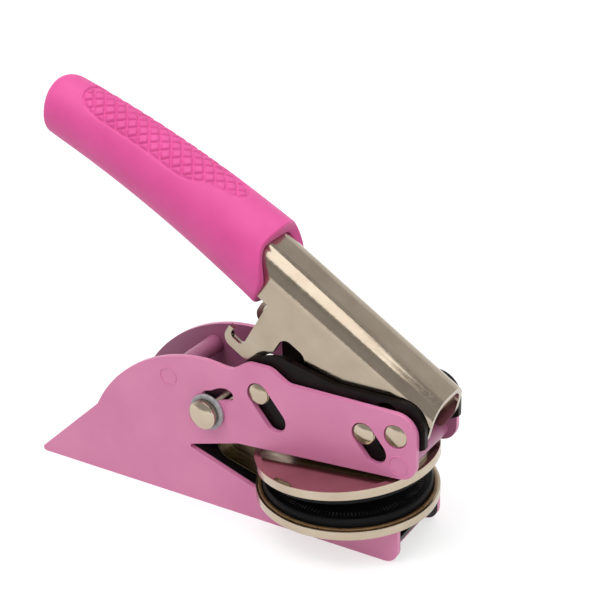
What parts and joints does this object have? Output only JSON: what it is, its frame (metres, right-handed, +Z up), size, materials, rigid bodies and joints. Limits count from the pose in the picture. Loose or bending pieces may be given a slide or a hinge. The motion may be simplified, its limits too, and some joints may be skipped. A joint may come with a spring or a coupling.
{
  "type": "seal embosser",
  "caption": "Hand seal embosser: painted side plates, nickel lever with rubber grip, round dies and a lock pin.",
  "frame": {"origin": "on the base plate's underside, below the centre of the dies", "axes": "+X towards the paper mouth, +Y to the left side plate, +Z up"},
  "size_m": [0.1289, 0.05, 0.1131],
  "materials": {
    "frame_paint": "satin",
    "nickel": "bright nickel",
    "grip_rubber": "satin",
    "die_black": "matte",
    "black_steel": "satin",
    "plain_steel": "ground",
    "spring_steel": "rolled",
    "washer_grey": "matte"
  },
  "bodies": {
    "frame": {"right_side_plate": "frame_paint", "left_side_plate": "frame_paint", "base_plate": "frame_paint", "rear_spacer": "frame_paint", "front_spacer": "frame_paint", "pivot_pin": "nickel", "lower_disc": "nickel", "lower_die": "die_black", "lower_rivets": "nickel", "insert_spring": "spring_steel"},
    "lever": {"handle_lever": "nickel", "grip": "grip_rubber"},
    "ram": {"press_arm": "black_steel", "press_foot": "plain_steel", "press_pin": "nickel", "guide_pin": "nickel"},
    "upper_seal": {"upper_disc": "nickel", "upper_die": "die_black", "thrust_rail": "plain_steel", "upper_rivets": "nickel", "nose_stud": "nickel"},
    "lock": {"lock_pin": "nickel", "right_lock_washer": "washer_grey", "left_lock_washer": "washer_grey", "right_lock_cap": "nickel", "left_lock_cap": "nickel"}
  },
  "joints": [
    {"name": "lever_turn", "type": "hinge", "parent": "frame", "child": "lever", "pos_m": [0.021, 0, 0.0381], "axis": [0, -1, 0], "range_deg": [0, 19], "stiffness_Nm_per_rad": 0.5, "springref_deg": -17.19, "deforming": ["insert_spring"]},
    {"name": "ram_slide", "type": "slide", "parent": "frame", "child": "ram", "axis": [0.6157, 0, -0.788], "range_m": [0, 0.00552]},
    {"name": "seal_turn", "type": "hinge", "parent": "frame", "child": "upper_seal", "pos_m": [-0.039, 0, 0.021], "axis": [0, 1, 0], "range_deg": [0, 5], "deforming": ["insert_spring"]},
    {"name": "lock_travel", "type": "hinge", "parent": "frame", "child": "lock", "pos_m": [-0.0296, 0, 0.0302], "axis": [0, 1, 0], "range_deg": [0, 90]}
  ],
  "couplings": [
    {"joint": "ram_slide", "follows": "lever_turn", "m_per_rad": 0.016586},
    {"joint": "seal_turn", "follows": "lever_turn", "ratio": 0.26158}
  ]
}
